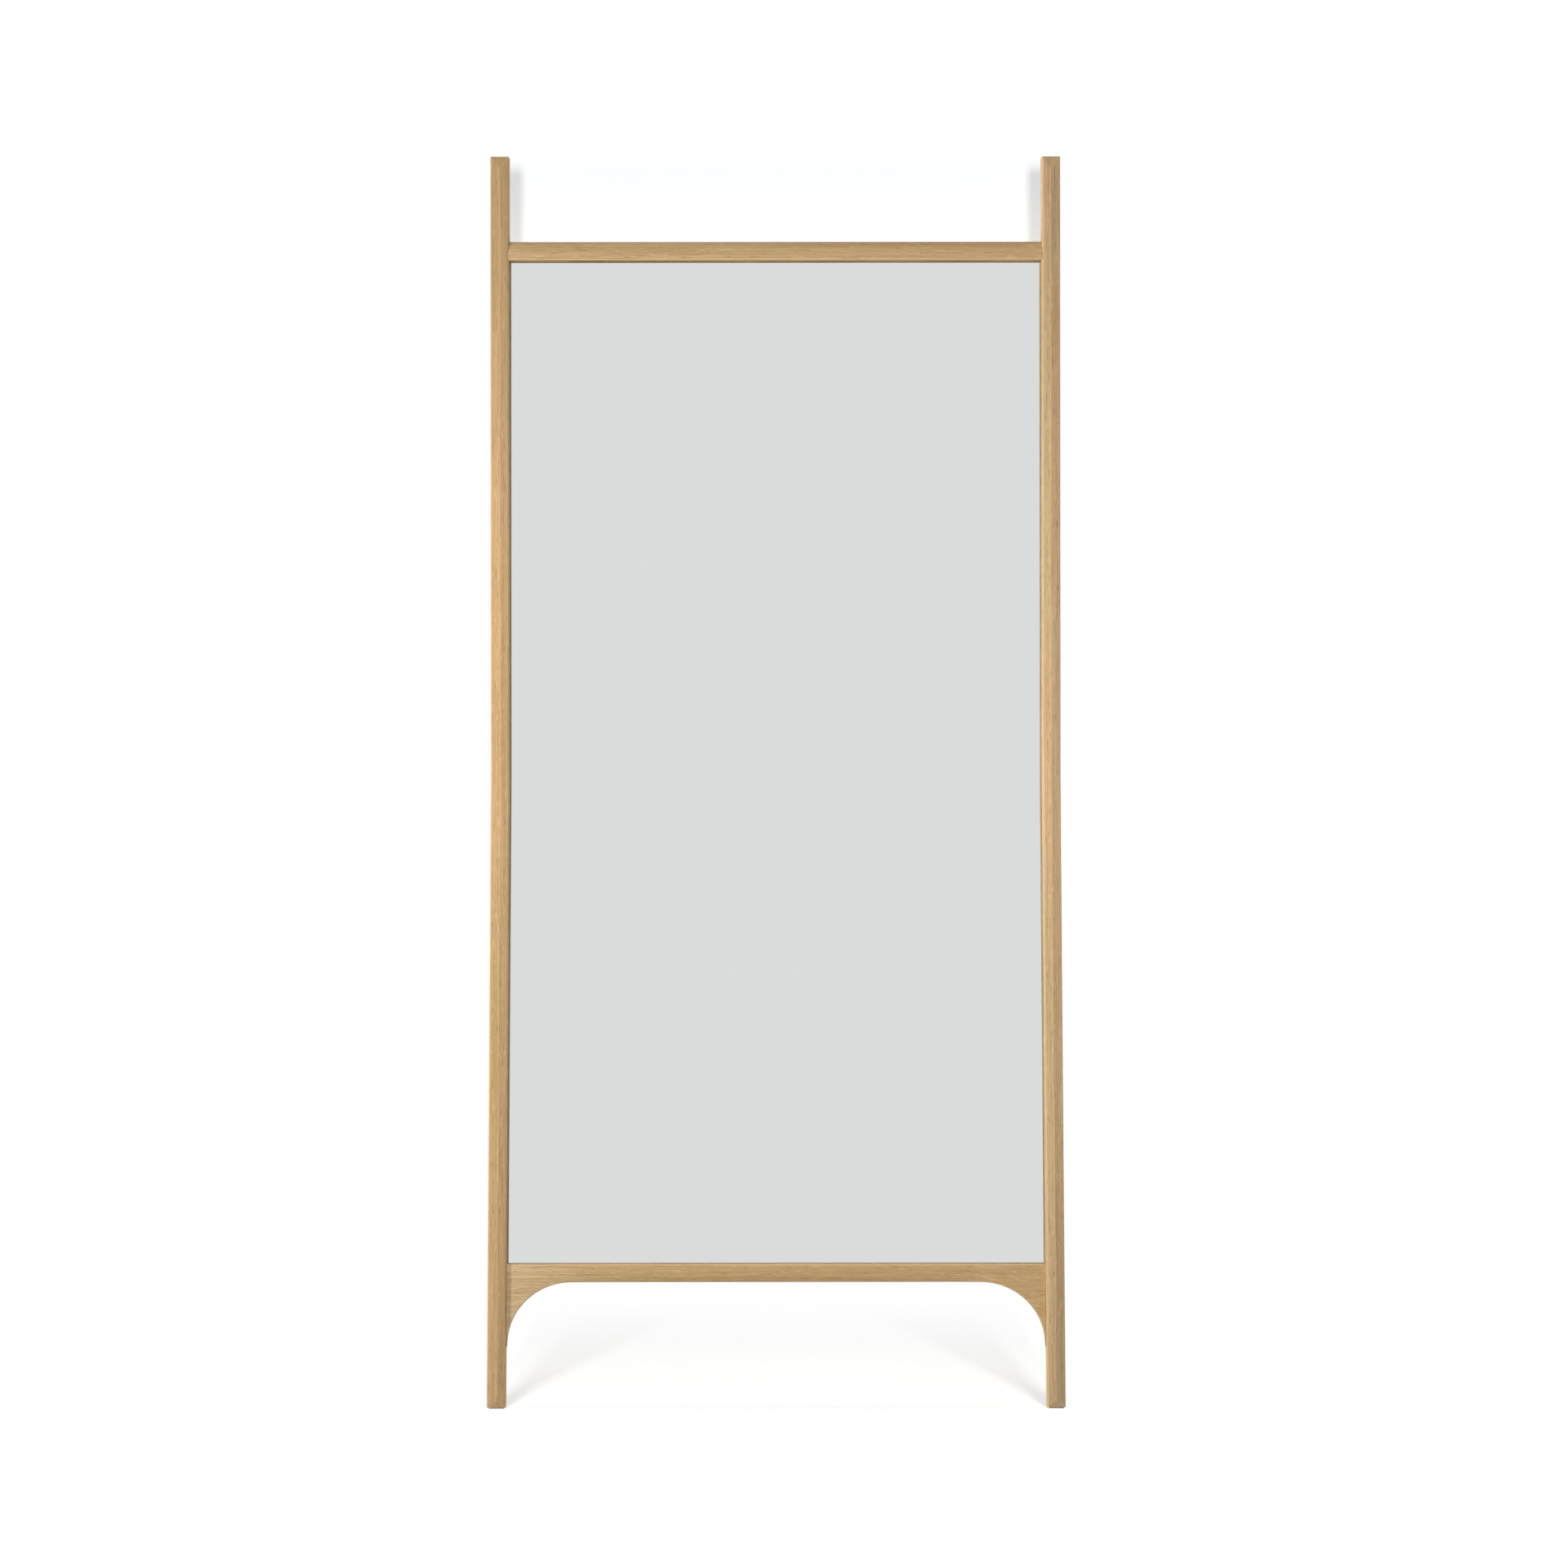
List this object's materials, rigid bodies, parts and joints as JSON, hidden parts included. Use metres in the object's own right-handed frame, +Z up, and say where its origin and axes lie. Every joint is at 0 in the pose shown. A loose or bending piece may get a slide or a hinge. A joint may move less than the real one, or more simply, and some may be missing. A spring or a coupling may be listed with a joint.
{
  "type": "leaning floor mirror",
  "caption": "Full-length floor mirror in an oak frame: stiles run on as horns and feet, the bottom rail has curved haunches, and hinged leaves fix it to a wall.",
  "frame": {"origin": "on the floor, at the middle of the mirror's width and depth", "axes": "+Z up along the height, +Y to the back, towards the wall, +X to the right seen from the front"},
  "size_m": [0.8786, 0.04, 1.9],
  "materials": {
    "oak_upright": "oiled light oak, grain up",
    "oak_rail": "oiled light oak, grain across",
    "silvered_glass": "clear silvered mirror",
    "backing_film": "grey safety film",
    "foam": "black foam tape",
    "plywood": "plain plywood",
    "block_rubber": "black rubber",
    "beech": "turned beech",
    "brassed_steel": "brassed steel",
    "screw_steel": "bright zinc",
    "hinge_steel": "satin zinc",
    "pad_rubber": "soft black rubber",
    "glide_nylon": "dark brown nylon"
  },
  "bodies": {
    "frame": {"left_stile": "oak_upright", "right_stile": "oak_upright", "top_rail": "oak_rail", "bottom_rail": "oak_rail", "mirror_glass": "silvered_glass", "safety_film": "backing_film", "foam_tapes": "foam", "back_panel": "plywood", "setting_blocks": "block_rubber", "top_left_dowels": "beech", "top_right_dowels": "beech", "bottom_left_dowels": "beech", "bottom_right_dowels": "beech", "pivot_screws": "screw_steel", "left_frame_leaf": "hinge_steel", "right_frame_leaf": "hinge_steel", "left_hinge_pin": "screw_steel", "right_hinge_pin": "screw_steel", "hinge_screws": "screw_steel", "left_wall_pad": "pad_rubber", "right_wall_pad": "pad_rubber", "left_foot_glide": "glide_nylon", "right_foot_glide": "glide_nylon"},
    "button_1": {"turn_button_1": "brassed_steel"},
    "button_2": {"turn_button_2": "brassed_steel"},
    "button_3": {"turn_button_3": "brassed_steel"},
    "button_4": {"turn_button_4": "brassed_steel"},
    "button_5": {"turn_button_5": "brassed_steel"},
    "button_6": {"turn_button_6": "brassed_steel"},
    "button_7": {"turn_button_7": "brassed_steel"},
    "button_8": {"turn_button_8": "brassed_steel"},
    "left_leaf": {"left_wall_leaf": "hinge_steel"},
    "right_leaf": {"right_wall_leaf": "hinge_steel"}
  },
  "joints": [
    {"name": "button_1_turn", "type": "hinge", "parent": "frame", "child": "button_1", "pos_m": [-0.4183, 0.0066, 0.46675], "axis": [0, 1, 0], "range_deg": [-90, 90]},
    {"name": "button_2_turn", "type": "hinge", "parent": "frame", "child": "button_2", "pos_m": [-0.4183, 0.0066, 0.98125], "axis": [0, 1, 0], "range_deg": [-90, 90]},
    {"name": "button_3_turn", "type": "hinge", "parent": "frame", "child": "button_3", "pos_m": [-0.4183, 0.0066, 1.49575], "axis": [0, 1, 0], "range_deg": [-90, 90]},
    {"name": "button_4_turn", "type": "hinge", "parent": "frame", "child": "button_4", "pos_m": [0.4183, 0.0066, 0.46675], "axis": [0, 1, 0], "range_deg": [-90, 90]},
    {"name": "button_5_turn", "type": "hinge", "parent": "frame", "child": "button_5", "pos_m": [0.4183, 0.0066, 0.98125], "axis": [0, 1, 0], "range_deg": [-90, 90]},
    {"name": "button_6_turn", "type": "hinge", "parent": "frame", "child": "button_6", "pos_m": [0.4183, 0.0066, 1.49575], "axis": [0, 1, 0], "range_deg": [-90, 90]},
    {"name": "button_7_turn", "type": "hinge", "parent": "frame", "child": "button_7", "pos_m": [0, 0.0066, 1.7575], "axis": [0, 1, 0], "range_deg": [-90, 90]},
    {"name": "button_8_turn", "type": "hinge", "parent": "frame", "child": "button_8", "pos_m": [0, 0.0066, 0.205], "axis": [0, 1, 0], "range_deg": [-90, 90]},
    {"name": "left_leaf_fold", "type": "hinge", "parent": "frame", "child": "left_leaf", "pos_m": [-0.41805, 0.018, 1.817], "axis": [1, 0, 0], "range_deg": [0, 170]},
    {"name": "right_leaf_fold", "type": "hinge", "parent": "frame", "child": "right_leaf", "pos_m": [0.41805, 0.018, 1.817], "axis": [1, 0, 0], "range_deg": [0, 170]}
  ]
}
